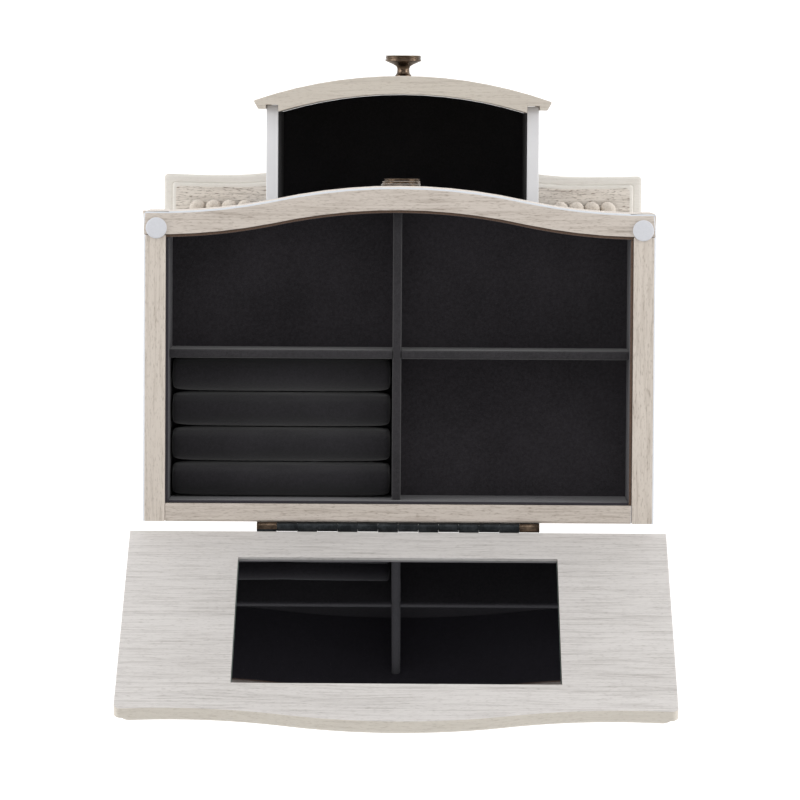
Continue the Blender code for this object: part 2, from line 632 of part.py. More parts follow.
def build_hook_strip(case, side, word):
    """Necklace hooks on the outer face of the partition, inside the side door."""
    face = PARTITION_X[1] + FIT
    front, back = -0.085, 0.105
    bar = block(sorted((side * face, side * (face + 0.006))), (front, back),
                (HOOK_STRIP_Z - 0.008, HOOK_STRIP_Z + 0.008))
    strip = add_piece(f"necklace_hooks_{word}", bar, AGED_BRONZE, case)
    pegs = []
    for number in range(HOOK_COUNT):
        y = front + (back - front) * (number + 0.5) / HOOK_COUNT
        place = Matrix.Translation((side * (face + 0.004), y, HOOK_STRIP_Z)) @ Matrix.Rotation(
            side * math.radians(78), 4, "Y")
        pegs.append(turned([(0, 0), (0.0018, 0), (0.0018, 0.020), (0.0031, 0.0225), (0.0022, 0.0255),
                            (0, 0.0262)], 8, place))
    combine(strip, f"necklace_pegs_{word}", merge(pegs), "UNION")


# ---------------------------------------------------------------- assembly
def stand_on_origin(root):
    """Move the armoire so that the middle of its box lies over the origin."""
    bpy.context.view_layer.update()
    shown = [item for item in bpy.data.objects if item.type == "MESH" and not item.hide_render]
    ys = [(item.matrix_world @ vertex.co).y for item in shown for vertex in item.data.vertices]
    root.location.y = -(min(ys) + max(ys)) / 2


def main():
    """Build the armoire."""
    clear_scene()
    case = pivot("armoire", (0, 0, 0))
    build_base(case)
    build_case(case)
    build_tray(case)
    build_lid(case)
    for number, (front_z, run_z) in enumerate(zip(DRAWER_FRONTS, shelf_tops()), start=1):
        out = BOTTOM_DRAWER_OUT if number == len(DRAWER_FRONTS) else 0.0
        build_drawer(case, number, front_z, run_z, out)
    for side, word in ((-1, "left"), (1, "right")):
        build_door(case, side, word)
    stand_on_origin(case)


main()
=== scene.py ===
"""Looks of the jewelry armoire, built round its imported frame.

Everything is in metres in the frame's own space: +Z up, the front towards -Y.
"""
from __future__ import annotations

import json
import logging
import math
from collections.abc import Callable, Iterable
from dataclasses import dataclass
from enum import Enum

import bmesh
import bpy
from mathutils import Matrix, Vector


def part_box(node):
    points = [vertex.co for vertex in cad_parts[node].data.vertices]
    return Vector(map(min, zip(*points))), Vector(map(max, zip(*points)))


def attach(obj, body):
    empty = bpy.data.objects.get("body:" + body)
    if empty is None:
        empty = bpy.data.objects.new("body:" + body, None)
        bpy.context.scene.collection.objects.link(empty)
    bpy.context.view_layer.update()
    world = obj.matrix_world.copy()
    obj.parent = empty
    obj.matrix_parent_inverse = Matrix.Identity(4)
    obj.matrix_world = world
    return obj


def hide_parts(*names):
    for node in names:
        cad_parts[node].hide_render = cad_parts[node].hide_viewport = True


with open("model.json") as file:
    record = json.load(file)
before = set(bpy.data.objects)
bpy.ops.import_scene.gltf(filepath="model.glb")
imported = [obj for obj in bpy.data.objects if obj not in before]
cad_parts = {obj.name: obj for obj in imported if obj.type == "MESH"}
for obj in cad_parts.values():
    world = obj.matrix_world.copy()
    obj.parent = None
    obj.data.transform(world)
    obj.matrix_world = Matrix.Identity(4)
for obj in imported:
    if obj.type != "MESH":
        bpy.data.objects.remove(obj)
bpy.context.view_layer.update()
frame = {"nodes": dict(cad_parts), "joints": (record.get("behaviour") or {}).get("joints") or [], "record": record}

LOG = logging.getLogger("armoire")
Number = float
Profile = tuple[tuple[float, float], ...]
SIDES = (("left", -1), ("right", 1))
QUARTER_TURN = math.radians(90)
FRONT_WALL_DEPTH = 0.0195
SLIVER = 1e-4  # under this, two places count as the same
BODY_OF = {node: body for body, nodes in frame["record"]["behaviour"]["bodies"].items() for node in nodes}


class Axis(Enum):
    """A direction of the frame, by its place in a vector."""

    X = 0
    Y = 1
    Z = 2


class Part(Enum):
    """What a selection is made of."""

    VERTS = "VERT"
    EDGES = "EDGE"
    FACES = "FACE"


# ------------------------------------------------------------------ shader maths
class Channel:
    """A socket of a node tree that takes part in expressions."""

    def __init__(self, graph: Graph, socket: bpy.types.NodeSocket) -> None:
        """Wrap a socket of a graph."""
        self.graph = graph
        self.socket = socket

    def __add__(self, other: Channel | Number) -> Channel:
        """Add."""
        return self.graph.math("ADD", self, other)

    def __radd__(self, other: Number) -> Channel:
        """Add, with the number first."""
        return self.graph.math("ADD", other, self)

    def __sub__(self, other: Channel | Number) -> Channel:
        """Subtract."""
        return self.graph.math("SUBTRACT", self, other)

    def __rsub__(self, other: Number) -> Channel:
        """Subtract from a number."""
        return self.graph.math("SUBTRACT", other, self)

    def __mul__(self, other: Channel | Number) -> Channel:
        """Multiply."""
        return self.graph.math("MULTIPLY", self, other)

    def __rmul__(self, other: Number) -> Channel:
        """Multiply, with the number first."""
        return self.graph.math("MULTIPLY", other, self)


class Graph:
    """The node tree of one material."""

    def __init__(self, name: str) -> None:
        """Start a material that holds only its shader and its output.

        Args:
            name: The material's name.
        """
        self.material = bpy.data.materials.new(name)
        self.material.use_nodes = True
        self.tree = self.material.node_tree
        self.shader = self.tree.nodes["Principled BSDF"]

    def node(self, kind: str, settings: dict[str, object] | None = None,
             sockets: dict[str | int, object] | None = None) -> bpy.types.Node:
        """Add a node.

        Args:
            kind: Blender's name of the node type.
            settings: Properties of the node, which are set first; "stops" fills a ramp.
            sockets: Values or channels for its inputs, by name or by number.

        Returns:
            The new node.
        """
        made = self.tree.nodes.new(kind)
        for name, value in (settings or {}).items():
            if name == "stops":
                self.set_stops(made.color_ramp, value)
            else:
                setattr(made, name, value)
        for key, value in (sockets or {}).items():
            target = made.inputs[key] if isinstance(key, int) else next(
                socket for socket in made.inputs if socket.enabled and socket.name == key)
            self.feed(target, value)
        return made

    def feed(self, target: bpy.types.NodeSocket, value: object) -> None:
        """Link a channel to a socket, or set the socket's own value.

        Args:
            target: The socket to feed.
            value: A channel, or a plain value.
        """
        if isinstance(value, Channel):
            self.tree.links.new(value.socket, target)
        else:
            target.default_value = value

    @staticmethod
    def set_stops(ramp: bpy.types.ColorRamp, stops: Iterable[tuple[float, float]]) -> None:
        """Give a ramp its stops of (place, grey level).

        Args:
            ramp: The ramp to fill.
            stops: Its stops, in order.
        """
        for number, (place, level) in enumerate(stops):
            stop = ramp.elements[number] if number < 2 else ramp.elements.new(place)
            stop.position = place
            stop.color = (level, level, level, 1.0)

    def math(self, operation: str, *values: Channel | Number) -> Channel:
        """Return the result of a Math node on channels and numbers."""
        made = self.node("ShaderNodeMath", {"operation": operation}, dict(enumerate(values)))
        return Channel(self, made.outputs[0])

    def place(self) -> Channel:
        """Return the surface's own coordinates, which are the frame's at rest."""
        return Channel(self, self.node("ShaderNodeTexCoord").outputs["Object"])

    def stretched(self, place: Channel, along: float, across: float, axis: Axis) -> Channel:
        """Return coordinates scaled to cycles per metre along an axis and across it.

        Args:
            place: The coordinates.
            along: Cycles per metre along the axis.
            across: Cycles per metre across it.
            axis: The axis.

        Returns:
            The scaled coordinates.
        """
        scale = [across] * 3
        scale[axis.value] = along
        made = self.node("ShaderNodeMapping", None, {"Vector": place, "Scale": scale})
        return Channel(self, made.outputs["Vector"])

    def shifted(self, place: Channel, amount: Channel, axis: Axis) -> Channel:
        """Return coordinates pushed by an amount along both axes but the given one.

        Args:
            place: The coordinates.
            amount: The push, in metres.
            axis: The axis that is left alone.

        Returns:
            The pushed coordinates.
        """
        pushes = {letter.name: amount for letter in Axis if letter is not axis}
        push = self.node("ShaderNodeCombineXYZ", None, pushes)
        made = self.node("ShaderNodeVectorMath", {"operation": "ADD"},
                         {0: place, 1: Channel(self, push.outputs[0])})
        return Channel(self, made.outputs[0])

    def noise(self, place: Channel, scale: float = 1.0, detail: float = 2.0,
              roughness: float = 0.5) -> Channel:
        """Return smooth noise between 0 and 1 at the given coordinates."""
        made = self.node("ShaderNodeTexNoise", None, {
            "Vector": place, "Scale": scale, "Detail": detail, "Roughness": roughness})
        return Channel(self, made.outputs[0])

    def ramp(self, value: Channel, *stops: tuple[float, float]) -> Channel:
        """Return a value passed through grey stops."""
        made = self.node("ShaderNodeValToRGB", {"stops": stops}, {0: value})
        return Channel(self, made.outputs[0])

    def mix(self, share: Channel | Number, first: object, second: object) -> Channel:
        """Return a colour between two colours, by share."""
        made = self.node("ShaderNodeMix", {"data_type": "RGBA"}, {
            "Factor": share, "A": first, "B": second})
        return Channel(self, next(out for out in made.outputs if out.enabled))

    def bump(self, height: Channel, depth: float) -> Channel:
        """Return a normal pushed by a height, where depth is in metres."""
        made = self.node("ShaderNodeBump", None, {"Height": height, "Distance": depth, "Strength": 1.0})
        return Channel(self, made.outputs[0])

    def dress(self, **values: object) -> bpy.types.Material:
        """Feed the shader's inputs, named with underscores for spaces, and return the material.

        Args:
            values: Values or channels, by the name of their input.

        Returns:
            The finished material.
        """
        for name, value in values.items():
            self.feed(self.shader.inputs[name.replace("_", " ")], value)
        return self.material


def rgba(red: float, green: float, blue: float) -> tuple[float, float, float, float]:
    """Return an opaque linear colour from screen levels of 0 to 255.

    Args:
        red: Red level.
        green: Green level.
        blue: Blue level.

    Returns:
        The colour, with full opacity.
    """
    def linear(level: float) -> float:
        """Return one screen level as linear light."""
        share = level / 255
        return share / 12.92 if share <= 0.04045 else ((share + 0.055) / 1.055) ** 2.4
    return linear(red), linear(green), linear(blue), 1.0


# ------------------------------------------------------------------ finishes
@dataclass(frozen=True)
class WhitewashedWood:
    """Open-grained wood under a thin whitewash that leaves the pores dark."""

    grain: Axis
    figure: float = 0.5
    pale: tuple[float, float, float] = (214, 205, 194)
    deep: tuple[float, float, float] = (158, 144, 130)
    name: str = "whitewash"
    fleck: float = 0.6

    def build(self) -> bpy.types.Material:
        """Return the material, with the grain running along its axis.

        Returns:
            The wood.
        """
        graph = Graph(f"{self.name}_{self.grain.name.lower()}")
        place = graph.place()
        drift = graph.noise(graph.stretched(place, 4.5, 26.0, self.grain)) - 0.5
        bent = graph.shifted(place, drift * 0.010, self.grain)
        band = graph.noise(graph.stretched(bent, 3.0, 105.0, self.grain), detail=4.0, roughness=0.62)
        line = graph.noise(graph.stretched(bent, 22.0, 520.0, self.grain), detail=3.0, roughness=0.6)
        pore = graph.noise(graph.stretched(bent, 210.0, 1050.0, self.grain), detail=3.0)
        cloud = graph.noise(graph.stretched(place, 5.0, 15.0, self.grain), detail=2.0)
        streaks = graph.ramp(band, (0.47, 0.0), (0.70, 1.0))
        lines = graph.ramp(line, (0.46, 0.0), (0.70, 1.0))
        pores = graph.ramp(pore, (0.54, 0.0), (0.70, 1.0))
        dark = (streaks * 0.12 + lines * 0.32 + streaks * lines * 0.30 + pores * self.fleck
                + (cloud - 0.5) * 0.4) * self.figure
        colour = graph.mix(graph.math("MINIMUM", graph.math("MAXIMUM", dark, 0.0), 1.0),
                           rgba(*self.pale), rgba(*self.deep))
        relief = 1.0 - (pores * 0.6 + lines * 0.4)
        return graph.dress(Base_Color=colour, Roughness=pores * 0.16 + 0.50,
                           Normal=graph.bump(relief, 0.00018), Specular_IOR_Level=0.35)


@dataclass(frozen=True)
class PaintedWood:
    """Smooth pale paint on the drawer boxes."""

    tint: tuple[float, float, float] = (226, 227, 231)
    name: str = "drawer_paint"

    def build(self) -> bpy.types.Material:
        """Return the material.

        Returns:
            The paint.
        """
        graph = Graph(self.name)
        place = graph.place()
        cloud = graph.noise(place, 22.0, 3.0)
        peel = graph.noise(place, 900.0, 2.0)
        tint = rgba(*self.tint)
        shade = tuple(level * 0.93 for level in tint[:3]) + (1.0,)
        colour = graph.mix(graph.ramp(cloud, (0.35, 0.0), (0.7, 1.0)), tint, shade)
        return graph.dress(Base_Color=colour, Roughness=cloud * 0.1 + 0.42,
                           Normal=graph.bump(peel, 0.00005))


@dataclass(frozen=True)
class Felt:
    """Short pressed fibres with a little lint and uneven nap."""

    tint: tuple[float, float, float]
    name: str
    lint: float = 0.65
    sheen: float = 0.25

    def build(self) -> bpy.types.Material:
        """Return the material.

        Returns:
            The felt.
        """
        graph = Graph(self.name)
        place = graph.place()
        fibre = graph.noise(place, 1500.0, 3.0, 0.7)
        tuft = graph.noise(place, 420.0, 2.0, 0.6)
        nap = graph.noise(place, 18.0, 2.0)
        tint = rgba(*self.tint)
        light = tuple(min(1.0, level * (1.0 + self.lint * 1.6)) for level in tint[:3]) + (1.0,)
        dark = tuple(level * (1.0 - self.lint * 0.9) for level in tint[:3]) + (1.0,)
        share = graph.ramp(fibre * 0.55 + tuft * 0.25 + nap * 0.2, (0.36, 0.0), (0.66, 1.0))
        return graph.dress(Base_Color=graph.mix(share, dark, light), Roughness=0.94,
                           Normal=graph.bump(fibre * 0.5 + tuft * 0.5, 0.0003),
                           Sheen_Weight=self.sheen, Sheen_Roughness=0.6, Specular_IOR_Level=0.15)


@dataclass(frozen=True)
class Metal:
    """Dark metal with patches of patina and rubbed high spots."""

    name: str
    tint: tuple[float, float, float]
    rubbed: tuple[float, float, float]
    roughness: float = 0.34

    def build(self) -> bpy.types.Material:
        """Return the material.

        Returns:
            The metal.
        """
        graph = Graph(self.name)
        place = graph.place()
        patch = graph.noise(place, 130.0, 4.0, 0.65)
        speck = graph.noise(place, 900.0, 2.0)
        share = graph.ramp(patch * 0.7 + speck * 0.3, (0.42, 0.0), (0.66, 1.0))
        return graph.dress(Base_Color=graph.mix(share, rgba(*self.tint), rgba(*self.rubbed)),
                           Metallic=1.0, Roughness=speck * 0.2 + (self.roughness - 0.1),
                           Normal=graph.bump(patch, 0.00006))


@dataclass(frozen=True)
class MirrorGlass:
    """Silvered glass with the faintest haze."""

    name: str = "mirror_silver"

    def build(self) -> bpy.types.Material:
        """Return the material.

        Returns:
            The mirror.
        """
        graph = Graph(self.name)
        haze = graph.noise(graph.place(), 14.0, 2.0)
        return graph.dress(Base_Color=graph.mix(haze, rgba(172, 172, 177), rgba(164, 165, 171)),
                           Metallic=1.0, Roughness=graph.ramp(haze, (0.3, 0.012), (0.8, 0.03)))


@dataclass(frozen=True)
class RawEdge:
    """A cut edge that shows the brown board under the finish."""

    name: str = "raw_edge"
    tint: tuple[float, float, float] = (104, 82, 68)

    def build(self) -> bpy.types.Material:
        """Return the material.

        Returns:
            The bare edge.
        """
        graph = Graph(self.name)
        grit = graph.noise(graph.place(), 700.0, 3.0, 0.7)
        tint = rgba(*self.tint)
        shade = tuple(level * 0.6 for level in tint[:3]) + (1.0,)
        return graph.dress(Base_Color=graph.mix(graph.ramp(grit, (0.4, 0.0), (0.65, 1.0)), tint, shade),
                           Roughness=0.8, Normal=graph.bump(grit, 0.0001))


@dataclass(frozen=True)
class StudioFloor:
    """Seamless pale floor."""

    name: str = "studio_floor"
    glow: float = 0.35

    def build(self) -> bpy.types.Material:
        """Return the material.

        Returns:
            The floor.
        """
        graph = Graph(self.name)
        grit = graph.noise(graph.place(), 3.0, 2.0)
        return graph.dress(Base_Color=graph.mix(grit, rgba(246, 246, 246), rgba(250, 250, 250)),
                           Roughness=0.9, Emission_Color=(1.0, 1.0, 1.0, 1.0), Emission_Strength=self.glow)


class Palette:
    """The finishes of the armoire, each made once."""

    def __init__(self) -> None:
        """Start with no finish made."""
        self.made: dict[object, bpy.types.Material] = {}

    def __call__(self, finish: object) -> bpy.types.Material:
        """Return the material of a finish.

        Args:
            finish: One of the finish classes, with its values.

        Returns:
            Its material, made on first use.
        """
        if finish not in self.made:
            self.made[finish] = finish.build()
        return self.made[finish]


PALETTE = Palette()
RIM_X = WhitewashedWood(Axis.X, 0.90, (212, 202, 192), (134, 120, 106), "rim_wood", 0.42)
RIM_Y = WhitewashedWood(Axis.Y, 0.80, (219, 209, 198), (140, 126, 112), "rim_wood", 0.42)
# Pale bluish-white painted highlight for the rounded outer arris of the tray walls, standing in for side light
# catching the edge.
RIM_PAINTED_HIGHLIGHT = WhitewashedWood(Axis.X, 0.20, (219, 222, 227), (184, 186, 190), "rim_painted_highlight")
LID_WOOD = WhitewashedWood(Axis.X, 1.00, (213, 209, 206), (146, 140, 135), "lid_wood", 0.28)
LID_EDGE = WhitewashedWood(Axis.X, 0.50, (214, 207, 196), (160, 150, 138), "lid_edge")
BASE_WOOD = WhitewashedWood(Axis.X, 1.10, (226, 219, 210), (126, 112, 100), "base_wood", 0.70)
MOULDING = WhitewashedWood(Axis.X, 0.30, (223, 219, 212), (176, 168, 158), "moulding_wood")
CASE_X, CASE_Z = (WhitewashedWood(axis, 0.75, name="case_wood") for axis in (Axis.X, Axis.Z))
PAINT = PaintedWood()
DRAWER_WOOD = WhitewashedWood(Axis.X, 0.60, (205, 198, 188), (146, 134, 122), "drawer_wood", 0.45)
TRAY_FELT = Felt((46, 43, 47), "tray_felt")
ROLL_FELT = Felt((28, 26, 30), "roll_felt")
DIVIDER_FELT = Felt((41, 39, 42), "divider_felt")
LINER_FELT = Felt((45, 42, 49), "liner_felt", 0.35)
DRAWER_FELT = Felt((43, 42, 44), "drawer_felt", 0.3, 0.05)
BUMPER_FELT = Felt((216, 217, 222), "bumper_felt", 0.04, 0.1)
BRONZE = Metal("aged_bronze", (66, 55, 46), (128, 110, 93), 0.24)
STEEL = Metal("blackened_steel", (40, 43, 45), (66, 70, 73), 0.4)
MIRROR = MirrorGlass()
GLASS_EDGE = RawEdge("glass_edge", (126, 142, 136))
RAW = RawEdge()


# ------------------------------------------------------------------ modelling by hand
class Bench:
    """Modelling steps that act on one piece at a time."""

    @staticmethod
    def release() -> None:
        """Leave edit mode and select nothing."""
        active = bpy.context.view_layer.objects.active
        if active and active.mode != "OBJECT":
            bpy.ops.object.mode_set(mode="OBJECT")
        bpy.ops.object.select_all(action="DESELECT")

    @staticmethod
    def hold(piece: bpy.types.Object) -> None:
        """Make a piece the active one and the only one selected.

        Args:
            piece: The piece to hold.
        """
        Bench.release()
        piece.select_set(True)
        bpy.context.view_layer.objects.active = piece

    @staticmethod
    def settle(piece: bpy.types.Object) -> bpy.types.Object:
        """Apply a piece's place, turn and scale to its mesh.

        Args:
            piece: The piece to work on.

        Returns:
            The same piece.
        """
        Bench.hold(piece)
        bpy.ops.object.transform_apply(location=True, rotation=True, scale=True)
        return piece

    @staticmethod
    def board(name: str, low: Iterable[float], high: Iterable[float]) -> bpy.types.Object:
        """Add a squared board between two corners.

        Args:
            name: Its name.
            low: Its lowest corner.
            high: Its highest corner.

        Returns:
            The board.
        """
        Bench.release()
        low, high = Vector(low), Vector(high)
        bpy.ops.mesh.primitive_cube_add(size=1.0, location=(low + high) / 2)
        piece = bpy.context.object
        piece.name = piece.data.name = name
        piece.scale = high - low
        return Bench.settle(piece)

    @staticmethod
    def copy_of(node: str, name: str) -> bpy.types.Object:
        """Return a merged copy of a frame node, free of the frame, for finer work.

        Args:
            node: The frame node to copy.
            name: The copy's name.

        Returns:
            The copy.
        """
        mesh = frame["nodes"][node].data.copy()
        mesh.name = name
        mesh.materials.clear()
        piece = bpy.data.objects.new(name, mesh)
        bpy.context.collection.objects.link(piece)
        Bench.hold(piece)
        bpy.ops.object.mode_set(mode="EDIT")
        bpy.ops.mesh.select_all(action="SELECT")
        bpy.ops.mesh.customdata_custom_splitnormals_clear()
        bpy.ops.mesh.remove_doubles(threshold=0.00002)
        bpy.ops.mesh.dissolve_limited(angle_limit=math.radians(0.6))
        bpy.ops.object.mode_set(mode="OBJECT")
        return piece

    @staticmethod
    def pick(piece: bpy.types.Object, part: Part, test: Callable[[object], bool]) -> int:
        """Select the parts of a piece that pass a test, and stay in edit mode.

        Args:
            piece: The piece to work on.
            part: What is selected.
            test: Which ones.

        Returns:
            How many were selected.
        """
        if bpy.context.view_layer.objects.active is not piece or piece.mode != "EDIT":
            Bench.hold(piece)
            bpy.ops.object.mode_set(mode="EDIT")
        bpy.ops.mesh.select_mode(type=part.value)
        bpy.ops.mesh.select_all(action="DESELECT")
        shape = bmesh.from_edit_mesh(piece.data)
        chosen = [item for item in {Part.VERTS: shape.verts, Part.EDGES: shape.edges,
                                    Part.FACES: shape.faces}[part] if test(item)]
        for item in chosen:
            item.select_set(True)
        shape.select_flush_mode()
        bmesh.update_edit_mesh(piece.data)
        return len(chosen)

    @staticmethod
    def cut_along(piece: bpy.types.Object, axis: Axis, cuts: int) -> None:
        """Divide the edges that run along an axis into equal lengths.

        Args:
            piece: The piece to work on.
            axis: The axis.
            cuts: How many cuts each edge gets.
        """
        def runs(edge: bmesh.types.BMEdge) -> bool:
            """Tell whether an edge runs along the axis."""
            line = edge.verts[1].co - edge.verts[0].co
            return abs(line[axis.value]) > 0.999 * line.length
        Bench.pick(piece, Part.EDGES, runs)
        bpy.ops.mesh.subdivide(number_cuts=cuts)

    @staticmethod
    def sway(piece: bpy.types.Object, shift: Callable[[float], float],
             test: Callable[[Vector], bool] = lambda _: True) -> None:
        """Move each column of points along Y by a shift that depends on its X.

        Args:
            piece: The piece to work on.
            shift: The move along Y, for each X.
            test: Which points take part.
        """
        Bench.release()
        columns = []
        for x in sorted(vert.co.x for vert in piece.data.vertices):
            if not columns or x - columns[-1] > SLIVER:
                columns.append(x)
        for column in columns:
            if Bench.pick(piece, Part.VERTS,
                          lambda vert: abs(vert.co.x - column) < SLIVER / 2 and test(vert.co)):
                bpy.ops.transform.translate(value=(0.0, shift(column), 0.0))

    @staticmethod
    def round_over(piece: bpy.types.Object, test: Callable[[bmesh.types.BMEdge], bool],
                   width: float, segments: int = 4) -> None:
        """Round the chosen edges.

        Args:
            piece: The piece to work on.
            test: Which edges are rounded.
            width: Size of the rounding.
            segments: Its steps.
        """
        if Bench.pick(piece, Part.EDGES, test):
            bpy.ops.mesh.bevel(offset=width, segments=segments, profile=0.5, affect="EDGES")

    @staticmethod
    def ease(piece: bpy.types.Object, width: float = 0.0006, segments: int = 2,
             angle: float = 40.0) -> bpy.types.Object:
        """Break every sharp edge a little, apply it, and shade the curved faces smooth.

        Args:
            piece: The piece to work on.
            width: How much is broken off.
            segments: Steps of the rounding.
            angle: Sharpest bend left alone, in degrees.

        Returns:
            The same piece.
        """
        Bench.hold(piece)
        bevel = piece.modifiers.new("eased", "BEVEL")
        bevel.width = width
        bevel.segments = segments
        bevel.limit_method = "ANGLE"
        bevel.angle_limit = math.radians(angle)
        bevel.use_clamp_overlap = True
        bpy.ops.object.modifier_apply(modifier=bevel.name)
        return Bench.smooth(piece)

    @staticmethod
    def smooth(piece: bpy.types.Object, angle: float = 35.0) -> bpy.types.Object:
        """Shade the curved faces smooth and keep the large faces flat.

        Args:
            piece: The piece to work on.
            angle: Sharpest bend shaded smooth, in degrees.

        Returns:
            The same piece.
        """
        Bench.hold(piece)
        bpy.ops.object.shade_smooth_by_angle(angle=math.radians(angle))
        weight = piece.modifiers.new("flat", "WEIGHTED_NORMAL")
        weight.keep_sharp = True
        weight.weight = 100
        bpy.ops.object.modifier_apply(modifier=weight.name)
        return piece

    @staticmethod
    def turned(name: str, profile: Profile, matrix: Matrix, segments: int) -> bpy.types.Object:
        """Turn a piece from a disc by extruding it along a profile of (radius, height).

        Args:
            name: Its name.
            profile: Its outline, from the bottom up.
            matrix: Where it goes.
            segments: Steps round it.

        Returns:
            The turned piece.
        """
        Bench.release()
        radius, height = profile[0]
        bpy.ops.mesh.primitive_circle_add(vertices=segments, radius=radius, fill_type="NGON",
                                          location=(0.0, 0.0, height))
        piece = bpy.context.object
        piece.name = piece.data.name = name
        Bench.settle(piece)
        bpy.ops.object.mode_set(mode="EDIT")
        bpy.ops.mesh.select_all(action="SELECT")
        for next_radius, next_height in profile[1:]:
            bpy.ops.mesh.extrude_region_move(
                TRANSFORM_OT_translate={"value": (0.0, 0.0, next_height - height)})
            share = next_radius / radius
            bpy.ops.transform.resize(value=(share, share, share), center_override=(0.0, 0.0, next_height))
            radius, height = next_radius, next_height
        bpy.ops.mesh.select_all(action="SELECT")
        bpy.ops.mesh.normals_make_consistent(inside=False)
        bpy.ops.object.mode_set(mode="OBJECT")
        piece.matrix_world = matrix
        Bench.settle(piece)
        bpy.ops.object.shade_smooth_by_angle(angle=math.radians(40))
        return piece

    @staticmethod
    def carve(piece: bpy.types.Object, cutter: bpy.types.Object) -> None:
        """Cut one piece out of another and throw the cutter away.

        Args:
            piece: The piece to work on.
            cutter: The shape to remove.
        """
        Bench.hold(piece)
        cut = piece.modifiers.new("cut", "BOOLEAN")
        cut.operation = "DIFFERENCE"
        cut.object = cutter
        bpy.ops.object.modifier_apply(modifier=cut.name)
        bpy.data.objects.remove(cutter)

    @staticmethod
    def join(name: str, pieces: list[bpy.types.Object]) -> bpy.types.Object:
        """Join pieces into the first one.

        Args:
            name: Name of the whole.
            pieces: What is joined.

        Returns:
            The whole.
        """
        Bench.hold(pieces[0])
        for piece in pieces[1:]:
            piece.select_set(True)
        bpy.ops.object.join()
        pieces[0].name = pieces[0].data.name = name
        return pieces[0]

    @staticmethod
    def dress(piece: bpy.types.Object, *finishes: object) -> None:
        """Give a piece its materials, the first one all over.

        Args:
            piece: The piece to work on.
            finishes: Its finishes, in order.
        """
        Bench.release()
        piece.data.materials.clear()
        for finish in finishes:
            piece.data.materials.append(PALETTE(finish))

    @staticmethod
    def again(piece: bpy.types.Object, name: str, shift: Iterable[float]) -> bpy.types.Object:
        """Return a moved copy of a piece, with its own mesh.

        Args:
            piece: The piece to copy.
            name: The copy's name.
            shift: How far it moves.

        Returns:
            The copy.
        """
        Bench.hold(piece)
        bpy.ops.object.duplicate()
        twin = bpy.context.object
        twin.name = twin.data.name = name
        twin.location += Vector(shift)
        return Bench.settle(twin)

    @staticmethod
    def refine(node: str, name: str, finish: object, width: float, segments: int = 3,
               angle: float = 40.0) -> None:
        """Carry a frame node over as an eased and finished copy.

        Args:
            node: The frame node.
            name: The copy's name.
            finish: Its finish.
            width: How much its edges are broken.
            segments: Steps of the rounding.
            angle: Sharpest bend left alone, in degrees.
        """
        piece = Bench.copy_of(node, name)
        Bench.dress(Bench.ease(piece, width, segments, angle), finish)
        Bench.fit(piece, node)

    @staticmethod
    def paint(piece: bpy.types.Object, number: int, test: Callable[[bmesh.types.BMFace], bool]) -> None:
        """Give the chosen faces another of the piece's materials.

        Args:
            piece: The piece to work on.
            number: Place of the material in the piece's list.
            test: Which faces get it.
        """
        if Bench.pick(piece, Part.FACES, test):
            piece.active_material_index = number
            bpy.ops.object.material_slot_assign()
        Bench.release()

    @staticmethod
    def fit(piece: bpy.types.Object, *nodes: str, body: str = "", slot: str = "") -> None:
        """Hang a finished piece on its body, in place of the nodes it stands for.

        Args:
            piece: The finished piece.
            nodes: The frame nodes it stands for.
            body: Its body, if not the first node's.
            slot: Not used.
        """
        Bench.release()
        body = body or BODY_OF[nodes[0]]
        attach(piece, body)
        if nodes:
            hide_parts(*nodes)
        LOG.info("%s: %d faces on %s", piece.name, len(piece.data.polygons), body)


def facing(face: bmesh.types.BMFace, axis: Axis, sign: float, least: float = 0.9) -> bool:
    """Tell whether a face looks along an axis, one way or the other."""
    return face.normal[axis.value] * sign > least


def edge_at(edge: bmesh.types.BMEdge, test: Callable[[Vector], bool]) -> bool:
    """Tell whether both ends of an edge pass a test."""
    return all(test(vert.co) for vert in edge.verts)


@dataclass(frozen=True)
class Serpentine:
    """Front line that swells at its middle and hollows towards its ends."""

    bulge: float
    half_width: float
    flat_ends: float = 1.0

    def __call__(self, x: float) -> float:
        """Return how far the line lies in front of its hollows at x, as a negative Y.

        Args:
            x: Place along the line, from its middle.

        Returns:
            The shift along Y.
        """
        half, rise = self.half_width / 2, self.bulge / 2
        radius = (half ** 2 + rise ** 2) / (2 * rise)
        if abs(x) <= half:
            return radius - self.bulge - math.sqrt(radius ** 2 - x ** 2)
        if abs(x) > self.half_width:
            radius *= self.flat_ends
        return math.sqrt(radius ** 2 - (abs(x) - self.half_width) ** 2) - radius


TRAY_WAVE = Serpentine(0.0217, 0.207)
LID_WAVE = Serpentine(0.0178, 0.185)
BASE_WAVE = Serpentine(0.0220, 0.180, 3.5)
TRAY_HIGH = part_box("tray_front_wall")[1]
TRAY_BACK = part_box("tray_back_wall")[1].y
RIM_FLANK = TRAY_HIGH.y - FRONT_WALL_DEPTH


